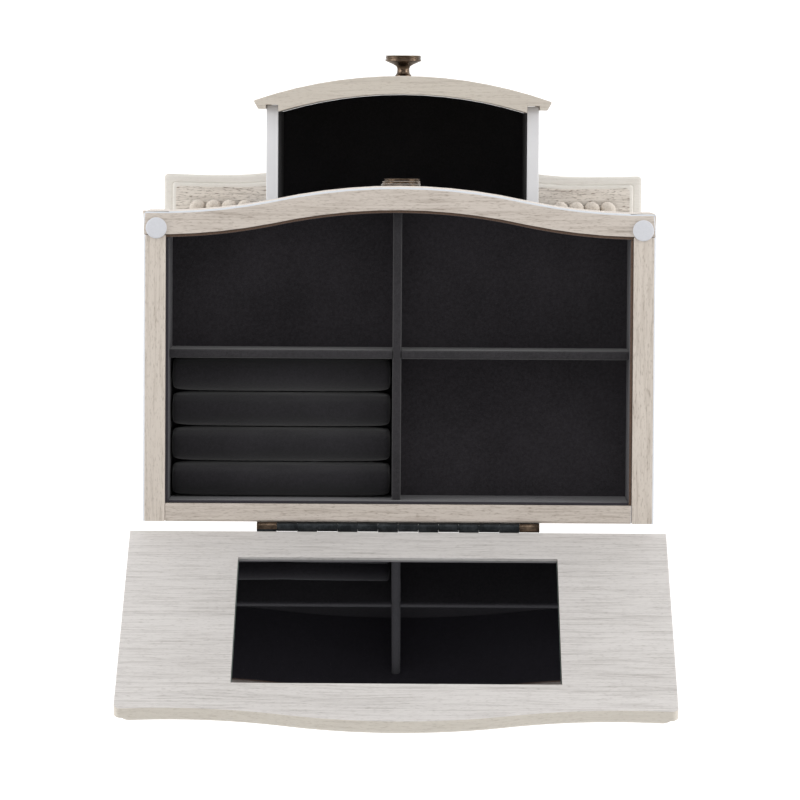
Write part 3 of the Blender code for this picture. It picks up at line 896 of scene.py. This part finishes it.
# ------------------------------------------------------------------ studio
@dataclass
class Studio:
    """Pale floor, soft light and a camera almost straight above the armoire."""

    eye_height: float = 4.496
    eye_side: float = -0.0158
    eye_front: float = -0.2284
    aim_side: float = -0.0010
    aim_y: float = 0.0219
    field_width: float = 0.6800
    roll: float = math.radians(0.34)
    sensor: float = 36.0
    floor_size: float = 30.0
    ambient: float = 0.58

    def build(self) -> None:
        """Set up the whole studio."""
        self.build_camera()
        self.build_floor()
        self.build_lights()

    def build_camera(self) -> None:
        """Hang the camera over the front edge, looking down into the tray."""
        rim = TRAY_HIGH.z
        eye = Vector((self.eye_side, self.eye_front, rim + self.eye_height))
        back = (eye - Vector((self.aim_side, self.aim_y, rim))).normalized()
        right = Vector((0.0, -1.0, 0.0)).cross(back).normalized()
        turn = Matrix((right, back.cross(right), back)).transposed()
        bpy.ops.object.camera_add(location=eye)
        camera = bpy.context.object
        camera.rotation_euler = (turn @ Matrix.Rotation(self.roll, 3, "Z")).to_euler()
        camera.data.sensor_width = self.sensor
        camera.data.lens = self.sensor * self.eye_height / self.field_width
        camera.data.clip_end = 50.0
        bpy.context.scene.camera = camera

    def build_floor(self) -> None:
        """Lay the floor."""
        Bench.release()
        bpy.ops.mesh.primitive_plane_add(size=self.floor_size)
        floor = bpy.context.object
        floor.name = "studio_floor"
        floor.data.materials.append(PALETTE(StudioFloor()))

    def build_lights(self) -> None:
        """Surround the armoire with soft boxes under an even sky."""
        world = bpy.data.worlds.new("studio")
        bpy.context.scene.world = world
        world.use_nodes = True
        sky = world.node_tree.nodes["Background"]
        sky.inputs["Color"].default_value = (1.0, 1.0, 1.0, 1.0)
        sky.inputs["Strength"].default_value = self.ambient
        self.softbox("left_box", (3.0, -0.6, 1.6), 2.4, 55.0)
        self.softbox("right_box", (-3.0, -0.6, 1.6), 2.4, 55.0)
        self.softbox("front_box", (0.3, -3.4, 2.6), 2.6, 22.0)
        self.softbox("rear_box", (-0.4, 3.2, 3.2), 2.6, 30.0)
        scene = bpy.context.scene
        scene.view_settings.view_transform = "Standard"
        scene.view_settings.look = "None"

    @staticmethod
    def softbox(name: str, place: tuple[float, float, float], size: float, power: float) -> None:
        """Add a square area light that faces the middle of the armoire.

        Args:
            name: Its name.
            place: Where it hangs.
            size: Length of its side.
            power: Its power in watts.
        """
        bpy.ops.object.light_add(type="AREA", location=place)
        light = bpy.context.object
        light.name = name
        light.data.size = size
        light.data.energy = power
        light.rotation_euler = (Vector(place) - Vector((0.0, 0.0, 0.6))).to_track_quat("Z", "Y").to_euler()


# ------------------------------------------------------------------ boards with a serpentine front
@dataclass(frozen=True)
class MouldedBoard:
    """Board with a serpentine front and a moulding that steps up round three sides.

    Attributes:
        wave: Its front line.
        half_width: Half of its widest part.
        front: Y of the front line's hollows.
        back: Y of its straight back edge.
        low: Z of its underside.
        lip: Height of its square edge.
        corner: Radius of its front corners.
        under: Size of the rounding along its underside.
        steps: The moulding above the lip, as (inset, rise) pairs.
        cuts: How many times its length is divided to follow the front line.
    """

    wave: Serpentine
    half_width: float
    front: float
    back: float
    low: float
    lip: float
    corner: float
    under: float
    steps: Profile
    cuts: int = 71

    def build(self, name: str) -> bpy.types.Object:
        """Return the board, flat and closed.

        Args:
            name: Its name.

        Returns:
            The board.
        """
        board = Bench.board(name, (-self.half_width, self.front, self.low),
                            (self.half_width, self.back, self.low + self.lip))
        Bench.cut_along(board, Axis.X, self.cuts)
        Bench.sway(board, self.wave, lambda point: point.y < self.front + SLIVER)
        edge = self.half_width - SLIVER
        Bench.round_over(board, lambda e: edge_at(e, lambda p: abs(p.x) > edge and p.y < 0.0)
                         and abs(e.verts[0].co.z - e.verts[1].co.z) > 1e-3, self.corner, 8)
        self.raise_moulding(board)
        foot = self.low + 1e-5
        Bench.round_over(board, lambda e: edge_at(e, lambda p: p.z < foot)
                         and not edge_at(e, lambda p: p.y > self.back - 1e-5)
                         and any(not facing(face, Axis.Z, -1.0) for face in e.link_faces), self.under, 3)
        bpy.ops.mesh.select_all(action="SELECT")
        bpy.ops.mesh.normals_make_consistent(inside=False)
        Bench.release()
        return board

    def raise_moulding(self, board: bpy.types.Object) -> None:
        """Extrude the top face up through the steps, each one drawn in from the front and the ends.

        Args:
            board: The square board.
        """
        Bench.pick(board, Part.FACES, lambda face: facing(face, Axis.Z, 1.0))
        half = self.half_width
        for inset, rise in self.steps:
            bpy.ops.mesh.extrude_region_move(TRANSFORM_OT_translate={"value": (0.0, 0.0, rise)})
            bpy.ops.transform.resize(value=((half - inset) / half, 1.0, 1.0),
                                     center_override=(0.0, 0.0, 0.0))
            half -= inset
            held = {vert.index for vert in bmesh.from_edit_mesh(board.data).verts if vert.select}
            Bench.pick(board, Part.VERTS, lambda vert: vert.index in held and vert.co.y < 0.0)
            bpy.ops.transform.translate(value=(0.0, inset, 0.0))
            Bench.pick(board, Part.VERTS, lambda vert: vert.index in held)


# ------------------------------------------------------------------ tray box
@dataclass
class TrayBox:
    """Open box on top: rounded walls, felt cards, felt floor and crossed dividers."""

    card: float = 0.0022
    card_drop: float = 0.0030
    air: float = 0.0003
    corner: float = 0.0022
    corner_from: float = 0.2178
    arris: float = 0.0012
    card_cuts: int = 47

    def build(self) -> None:
        """Build the whole box."""
        self.build_walls()
        self.build_cards()
        self.build_felt_boards()

    def build_walls(self) -> None:
        """Finish the four walls, with a softened outer arris carrying a pale painted highlight and rounded front
        corners.
        """
        for node, finish in (("tray_front_wall", RIM_X), ("tray_back_wall", RIM_X),
                             ("tray_left_wall", RIM_Y), ("tray_right_wall", RIM_Y)):
            wall = Bench.copy_of(node, f"{node}_board")
            if node == "tray_front_wall":
                Bench.round_over(
                    wall, lambda e: edge_at(
                        e, lambda p: abs(p.x) > self.corner_from and p.y < RIM_FLANK + 0.003)
                    and abs(e.verts[0].co.z - e.verts[1].co.z) > 0.01, self.corner, 5)
            if node != "tray_back_wall":
                Bench.round_over(wall, lambda e: any(face.normal.z > 0.9 for face in e.link_faces)
                                 and any(self.outward(face, node) for face in e.link_faces), self.arris, 4)
            Bench.ease(wall, 0.0007, 3, 25.0)
            Bench.dress(wall, finish, RIM_PAINTED_HIGHLIGHT)
            # The outer arris faces get the pale bluish-white painted highlight, in place of side light on the
            # rounded edge.
            Bench.paint(wall, 1, lambda face: 0.05 < face.normal.z < 0.93 and self.outward(face, node))
            Bench.fit(wall, node)

    @staticmethod
    def outward(face: bmesh.types.BMFace, node: str) -> bool:
        """Tell whether a wall's face looks away from the tray.

        Args:
            face: The face.
            node: The wall's node.

        Returns:
            Whether it looks outwards.
        """
        if "front" in node:
            return face.normal.z < 0.95 and face.normal.y < 0.1
        return face.normal.x * (1 if "right" in node else -1) > 0.2

    def build_cards(self) -> None:
        """Line the walls with thin felt-covered cards whose front one shows its brown cut edge."""
        low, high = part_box("tray_floor")[1].z + self.air, TRAY_HIGH.z - self.card_drop
        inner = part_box("tray_right_wall")[0].x - self.air
        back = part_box("tray_back_wall")[0].y - self.air
        front = TRAY_HIGH.y + self.air
        for word, side in SIDES:
            ends = sorted((side * inner, side * (inner - self.card)))
            card = Bench.board(f"tray_card_{word}", (ends[0], front + self.card + self.air, low),
                               (ends[1], back, high))
            self.finish_card(card, Axis.X, side, word == "left")
        card = Bench.board("tray_card_back", (self.card + self.air - inner, back - self.card, low),
                           (inner - self.card - self.air, back, high))
        self.finish_card(card, Axis.Y, 1, False)
        card = Bench.board("tray_card_front", (-inner, front, low),
                           (inner, front + self.card, high + 0.0008))
        Bench.cut_along(card, Axis.X, self.card_cuts)
        Bench.sway(card, TRAY_WAVE)
        self.finish_card(card, Axis.Y, -1, True)

    @staticmethod
    def finish_card(card: bpy.types.Object, axis: Axis, side: float, bare: bool) -> None:
        """Soften a card, leave its cut edge bare where it shows, and fit it.

        Args:
            card: The card.
            axis: The axis it faces along.
            side: Which way its back looks.
            bare: Whether its cut edge shows.
        """
        Bench.ease(card, 0.0004, 2)
        Bench.dress(card, LINER_FELT, RAW)
        if bare:
            Bench.paint(card, 1, lambda face: facing(face, Axis.Z, 1.0, 0.5)
                        or facing(face, axis, side, 0.9))
        Bench.fit(card, body="case", slot="black_felt")

    @staticmethod
    def build_felt_boards() -> None:
        """Wrap the floor and the two dividers in felt, with soft upper edges."""
        Bench.refine("tray_floor", "tray_floor_felt", TRAY_FELT, 0.0004, 2)
        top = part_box("divider_long")[1].z - SLIVER
        for node, axis in (("divider_long", Axis.X), ("divider_cross", Axis.Y)):
            divider = Bench.copy_of(node, f"{node}_felt")
            Bench.round_over(divider, lambda e: edge_at(e, lambda p: p.z > top) and abs(
                (e.verts[0].co - e.verts[1].co)[axis.value]) > 0.02, 0.0024, 5)
            Bench.dress(Bench.smooth(divider), DIVIDER_FELT)
            Bench.fit(divider, node)


@dataclass
class RingRolls:
    """Four felt rolls stuffed tight, swollen until they press on each other."""

    count: int = 4
    slack: float = 0.0012
    air: float = 0.00025
    voxel: float = 0.0045
    pressure: float = 4.0
    frames: int = 20

    def build(self) -> None:
        """Stuff one roll and lay its copies side by side."""
        low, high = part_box("ring_roll_1")
        first = Bench.copy_of("ring_roll_1", "ring_roll_pad_1")
        foot = Vector(((low.x + high.x) / 2, (low.y + high.y) / 2, low.z))
        share = [(length - 2 * self.slack) / length for length in high - low]
        first.matrix_world = (Matrix.Translation(foot) @ Matrix.Diagonal((*share, 1.0))
                              @ Matrix.Translation(-foot))
        Bench.settle(first)
        self.remesh(first)
        self.swell(first)
        self.keep_within(first, low, high)
        Bench.hold(first)
        smooth = first.modifiers.new("soft", "SUBSURF")
        smooth.levels = smooth.render_levels = 1
        bpy.ops.object.modifier_apply(modifier=smooth.name)
        bpy.ops.object.shade_smooth()
        Bench.dress(first, ROLL_FELT)
        rolls = [first]
        for number in range(2, self.count + 1):
            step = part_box(f"ring_roll_{number}")[0].y - low.y
            rolls.append(Bench.again(first, f"ring_roll_pad_{number}", (0.0, step, 0.0)))
        for number, roll in enumerate(rolls, 1):
            Bench.fit(roll, f"ring_roll_{number}")

    def remesh(self, roll: bpy.types.Object) -> None:
        """Cover the roll in an even mesh of cloth.

        Args:
            roll: The roll.
        """
        Bench.hold(roll)
        cover = roll.modifiers.new("cover", "REMESH")
        cover.mode = "VOXEL"
        cover.voxel_size = self.voxel
        bpy.ops.object.modifier_apply(modifier=cover.name)

    def swell(self, roll: bpy.types.Object) -> None:
        """Blow the cloth up from inside, as stuffing does.

        Args:
            roll: The covered roll.
        """
        cloth = roll.modifiers.new("stuffing", "CLOTH")
        cloth.settings.quality = 6
        cloth.settings.use_pressure = True
        cloth.settings.uniform_pressure_force = self.pressure
        cloth.settings.effector_weights.gravity = 0.0
        cloth.point_cache.frame_start = 1
        cloth.point_cache.frame_end = self.frames
        scene = bpy.context.scene
        for number in range(1, self.frames + 1):
            scene.frame_set(number)
        bpy.ops.object.modifier_apply(modifier=cloth.name)
        scene.frame_set(1)

    def keep_within(self, roll: bpy.types.Object, low: Vector, high: Vector) -> None:
        """Stop the cloth where it meets its neighbours, the walls and the floor.

        Args:
            roll: The swollen roll.
            low: Lowest corner of its room.
            high: Highest corner of its room.
        """
        for vert in roll.data.vertices:
            for axis in range(3):
                vert.co[axis] = min(max(vert.co[axis], low[axis] + self.air), high[axis] - self.air)


@dataclass
class Bumpers:
    """Pale felt discs on the front corners of the rim."""

    profile: Profile = ((0.0085, 0.0), (0.0089, 0.0003), (0.0090, 0.0007), (0.0089, 0.0012),
                        (0.0085, 0.0016), (0.0078, 0.0017), (0.0040, 0.0017), (0.0004, 0.0017))

    def build(self) -> None:
        """Turn a disc for each corner."""
        for word, _ in SIDES:
            low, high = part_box(f"bumper_{word}")
            place = Matrix.Translation(((low.x + high.x) / 2, (low.y + high.y) / 2, low.z))
            disc = Bench.turned(f"bumper_{word}_disc", self.profile, place, 48)
            Bench.dress(disc, BUMPER_FELT)
            Bench.fit(disc, f"bumper_{word}")


# ------------------------------------------------------------------ lid
@dataclass
class Lid:
    """Flip lid with its let-in mirror, modelled shut and then swung open."""

    half_width: float = 0.2285
    overhang: float = 0.0086
    rest: float = 0.0023
    mirror: tuple[float, float, float] = (0.270, 0.1935, 0.003)
    mirror_margin: float = 0.0415
    sunk: float = 0.0020
    air: float = 0.0003
    steps: Profile = ((0.0008, 0.0002), (0.0024, 0.0004), (0.0004, 0.0008), (0.0003, 0.0011),
                      (0.0006, 0.0015), (0.0009, 0.0014), (0.0012, 0.0012), (0.0016, 0.0009),
                      (0.0018, 0.0005))

    def swing(self) -> Matrix:
        """Return the turn that opens the shut lid.

        Returns:
            The turn about the hinge.
        """
        joint = next(row for row in frame["joints"] if row["name"] == "lid_hinge")
        axis = Matrix.Translation(Vector(joint["pos_m"]))
        return axis @ Matrix.Rotation(-math.radians(joint["range_deg"][1]), 4, "X") @ axis.inverted()

    def build(self) -> None:
        """Build the board and the mirror."""
        low = TRAY_HIGH.z + self.rest
        shape = MouldedBoard(LID_WAVE, half_width=self.half_width, front=RIM_FLANK - self.overhang,
                             back=TRAY_BACK, low=low, lip=0.009, corner=0.007, under=0.0008,
                             steps=self.steps)
        board = shape.build("lid_board")
        width, depth, thickness = self.mirror
        back = TRAY_BACK - self.mirror_margin
        floor = low + self.sunk + thickness + self.air
        Bench.carve(board, Bench.board("mirror_recess", (-width / 2, back - depth, low - 0.01),
                                       (width / 2, back, floor)))
        Bench.dress(board, LID_WOOD, RAW, LID_EDGE)
        Bench.paint(board, 2, lambda face: facing(face, Axis.Y, -1.0, 0.35)
                    and face.calc_center_median().y < 0)
        Bench.paint(board, 1, lambda face: facing(face, Axis.X, 1.0)
                    and abs(face.calc_center_median().x + width / 2) < SLIVER)
        glass = Bench.board("mirror_glass", (self.air - width / 2, back - depth + self.air, low + self.sunk),
                            (width / 2 - self.air, back - self.air, low + self.sunk + thickness))
        Bench.ease(glass, 0.0005, 2)
        Bench.dress(glass, MIRROR, GLASS_EDGE)
        Bench.paint(glass, 1, lambda face: not facing(face, Axis.Z, -1.0, 0.98))
        for piece, node in ((board, "lid_panel"), (glass, "mirror")):
            piece.matrix_world = self.swing()
            Bench.fit(Bench.smooth(Bench.settle(piece), 28.0), node)


@dataclass
class PianoHinge:
    """Long hinge with rolled knuckles, flat leaves and a bronze pin."""

    knuckles: int = 14
    radius: float = 0.0038
    bore: float = 0.0024
    pin: float = 0.0020
    gap: float = 0.0001

    @staticmethod
    def lying(x: float, axis: Vector) -> Matrix:
        """Return the place of a piece turned along the hinge's axis, from x on."""
        return Matrix.Translation((x, axis.y, axis.z)) @ Matrix.Rotation(QUARTER_TURN, 4, "Y")

    def sleeve(self, long: float) -> Profile:
        """Return the outline of one knuckle of a given length."""
        radius = self.radius
        return ((self.bore, 0.0), (radius - 0.0003, 0.0), (radius - 0.0001, 0.0001), (radius, 0.0003),
                (radius, long - 0.0003), (radius - 0.0001, long - 0.0001), (radius - 0.0003, long),
                (self.bore, long))

    def build(self) -> None:
        """Build both leaves and the pin."""
        low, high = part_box("hinge_pin")
        axis = (low + high) / 2
        pitch = (high.x - low.x) / self.knuckles
        for node, first in (("hinge_leaf_case", 0), ("hinge_leaf_lid", 1)):
            leaf = Bench.copy_of(node, f"{node}_plate")
            Bench.ease(leaf, 0.00015, 1)
            sleeves = [leaf]
            for number in range(first, self.knuckles, 2):
                start = low.x + pitch * number + self.gap / 2
                sleeves.append(Bench.turned("sleeve", self.sleeve(pitch - self.gap),
                                            self.lying(start, axis), 28))
            leaf = Bench.join(f"{node}_plate", sleeves)
            Bench.dress(leaf, STEEL, BRONZE)
            Bench.paint(leaf, 1, lambda face: abs(face.calc_center_median().x) > high.x - pitch)
            Bench.fit(leaf, node)
        long = high.x - low.x
        rod = Bench.turned("hinge_pin_rod", (
            (0.0008, 0.0), (0.0015, 0.0002), (self.pin, 0.0008), (self.pin, long - 0.0008),
            (0.0015, long - 0.0002), (0.0008, long)), self.lying(low.x, axis), 24)
        Bench.dress(rod, BRONZE)
        Bench.fit(rod, "hinge_pin")


# ------------------------------------------------------------------ drawers
@dataclass
class Drawer:
    """Bow-fronted drawer with a painted box, a felt lining and a turned knob."""

    number: int
    lining: float = 0.0010
    air: float = 0.0002
    knob_profile: Profile = (
        (0.0080, 0.0), (0.0080, 0.0010), (0.0073, 0.0017), (0.0064, 0.0030), (0.0060, 0.0055),
        (0.0061, 0.0080), (0.0070, 0.0098), (0.0100, 0.0116), (0.0140, 0.0133), (0.0165, 0.0144),
        (0.0174, 0.0148), (0.01775, 0.0152), (0.01775, 0.0163), (0.0174, 0.0167), (0.0168, 0.0168),
        (0.0168, 0.0173), (0.0173, 0.0174), (0.0175, 0.0178), (0.0175, 0.0185), (0.0171, 0.0189),
        (0.0168, 0.0190), (0.0168, 0.0194), (0.0173, 0.0195), (0.0175, 0.0199), (0.0171, 0.02025),
        (0.0159, 0.02025), (0.0149, 0.0199), (0.0100, 0.0198), (0.0005, 0.0199))

    def build(self) -> None:
        """Build the drawer's pieces."""
        label = f"drawer_{self.number}"
        Bench.refine(f"{label}_front", f"{label}_bow", DRAWER_WOOD, 0.0008, 3, 30.0)
        for part in ("left_side", "right_side", "back"):
            Bench.refine(f"{label}_{part}", f"{label}_{part}_board", PAINT, 0.0008)
        Bench.refine(f"{label}_bottom", f"{label}_bottom_felt", DRAWER_FELT, 0.0003, 1)
        self.build_lining(label)
        self.build_knob(label)

    def build_lining(self, label: str) -> None:
        """Stand felt cards against the sides and the back.

        Args:
            label: The drawer's name.
        """
        side_low, side_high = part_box(f"{label}_right_side")
        low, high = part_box(f"{label}_bottom")[1].z + self.air, side_high.z - 0.0008
        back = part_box(f"{label}_back")[0].y - self.air
        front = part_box(f"{label}_front")[1].y + self.air
        reach = side_low.x - self.air
        cards = [Bench.board("card", (side * reach - (self.lining if side > 0 else 0.0), front, low),
                             (side * reach + (self.lining if side < 0 else 0.0), back, high))
                 for _, side in SIDES]
        cards.append(Bench.board("card", (self.lining + self.air - reach, back - self.lining, low),
                                 (reach - self.lining - self.air, back, high)))
        for card in cards:
            Bench.ease(card, 0.0003, 2)
        lining = Bench.join(f"{label}_lining", cards)
        Bench.dress(lining, DRAWER_FELT)
        Bench.fit(lining, body=label, slot="black_felt")

    def build_knob(self, label: str) -> None:
        """Turn the knob.

        Args:
            label: The drawer's name.
        """
        low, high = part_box(f"{label}_knob")
        place = (Matrix.Translation(((low.x + high.x) / 2, high.y, (low.z + high.z) / 2))
                 @ Matrix.Rotation(QUARTER_TURN, 4, "X"))
        knob = Bench.turned(f"{label}_turned_knob", self.knob_profile, place, 48)
        Bench.dress(knob, BRONZE)
        Bench.fit(knob, f"{label}_knob")


# ------------------------------------------------------------------ side doors
@dataclass
class SideDoor:
    """Side door: a panel with a reeded pilaster on a carved foot."""

    word: str
    side: int
    reeds: int = 4
    pitch: float = 0.0157
    middle: float = 0.1814
    reed: float = 0.0072
    short_reed: tuple[float, float] = (0.0071, 0.0089)
    foot_height: float = 0.0425
    block_depth: float = 0.0097
    stile: float = 0.0082
    sink: float = 0.002
    dome: float = 0.0052

    def build(self) -> None:
        """Build the door's pieces and the hooks behind it."""
        body = f"door_{self.word}"
        Bench.refine(f"{body}_panel", f"{body}_panel_board", CASE_Z, 0.0010)
        self.build_pilaster(body)
        for part in ("case", "door"):
            Bench.refine(f"{body}_hinge_leaf_{part}", f"{body}_hinge_{part}_plate", BRONZE, 0.0001, 1)
        hooks = f"necklace_hooks_{self.word}"
        Bench.refine(hooks, f"{hooks}_rail", BRONZE, 0.0004, 2)

    def build_pilaster(self, body: str) -> None:
        """Build the stile, the long reeds, the foot block and its short domed reeds.

        Args:
            body: The door's body.
        """
        low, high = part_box(f"{body}_pilaster")
        face = high.y - self.stile
        front = face - self.block_depth
        top = low.z + self.foot_height
        stile = Bench.board("stile", (low.x, face, low.z), high)
        Bench.ease(stile, 0.0010, 3)
        foot = Bench.board("foot", (low.x + 0.0005, front, low.z),
                           (high.x - 0.0005, high.y - 0.001, top))
        Bench.ease(foot, 0.0014, 4)
        pieces = [stile, foot]
        half, depth = self.short_reed
        for number in range(self.reeds):
            x = self.side * (self.middle + self.pitch * (number - (self.reeds - 1) / 2))
            pieces.append(self.half_round(x, self.reed, face - self.reed, face + self.sink,
                                          top - 0.004, high.z, 0.0))
            pieces.append(self.half_round(x, half, front - depth, front + self.sink, low.z,
                                          top - 0.0005, self.dome))
        pilaster = Bench.join(f"{body}_reeded_pilaster", pieces)
        Bench.dress(pilaster, CASE_Z)
        Bench.fit(pilaster, f"{body}_pilaster")

    @staticmethod
    def half_round(x: float, half: float, front: float, back: float, low: float, high: float,
                   dome: float) -> bpy.types.Object:
        """Return one reed, rounded across its front and, where asked, domed on top.

        Args:
            x: Its middle.
            half: Half of its width.
            front: Y of its crown.
            back: Y of its flat back.
            low: Its foot.
            high: Its top.
            dome: Size of the dome, or 0 for a square end.

        Returns:
            The reed.
        """
        reed = Bench.board("reed", (x - half, front, low), (x + half, back, high))
        Bench.round_over(reed, lambda e: edge_at(e, lambda p: p.y < front + 1e-5)
                         and abs(e.verts[0].co.z - e.verts[1].co.z) > 1e-3, half * 0.985, 10)
        if dome:
            Bench.round_over(reed, lambda e: edge_at(e, lambda p: p.z > high - 1e-5)
                             and not edge_at(e, lambda p: p.y > back - 1e-5), dome, 6)
        return Bench.smooth(reed, 40.0)


# ------------------------------------------------------------------ case
@dataclass
class Case:
    """Base, feet and the carcass boards between them and the tray."""

    base_steps: Profile = ((0.0004, 0.0009), (0.0007, 0.0007), (0.0014, 0.0006), (0.0025, 0.0004),
                           (0.0025, 0.0002), (0.0004, -0.0003), (0.0003, 0.0), (0.0002, 0.0012),
                           (0.0006, 0.0010), (0.0010, 0.0006), (0.0020, 0.0002))

    def build(self) -> None:
        """Build the base and finish the carcass boards."""
        low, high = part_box("base_board")
        flank = low.y + BASE_WAVE.bulge
        shape = MouldedBoard(BASE_WAVE, half_width=high.x, front=flank, back=high.y, low=low.z,
                             lip=0.0125, corner=0.004, under=0.0030, steps=self.base_steps)
        board = Bench.smooth(shape.build("base_moulded_board"), 28.0)
        Bench.dress(board, BASE_WOOD, MOULDING)
        Bench.paint(board, 1, lambda face: face.calc_center_median().z < high.z - SLIVER)
        Bench.fit(board, "base_board")
        for node, finish, width in (
                ("plinth_frame", CASE_X, 0.0015), ("partition_left", CASE_Z, 0.0006),
                ("partition_right", CASE_Z, 0.0006), ("back_panel", CASE_Z, 0.0008),
                ("drawer_shelf_1", PAINT, 0.0006), ("drawer_shelf_2", PAINT, 0.0006),
                ("drawer_shelf_3", PAINT, 0.0006)):
            Bench.refine(node, f"{node}_board", finish, width)


def main() -> None:
    """Build the looks of the armoire, piece by piece."""
    logging.basicConfig(level=logging.INFO, format="%(name)s %(message)s")
    Studio().build()
    Case().build()
    for word, side in SIDES:
        SideDoor(word, side).build()
    for number in range(1, 5):
        Drawer(number).build()
    TrayBox().build()
    RingRolls().build()
    Bumpers().build()
    Lid().build()
    PianoHinge().build()


if __name__ == "__main__":
    main()
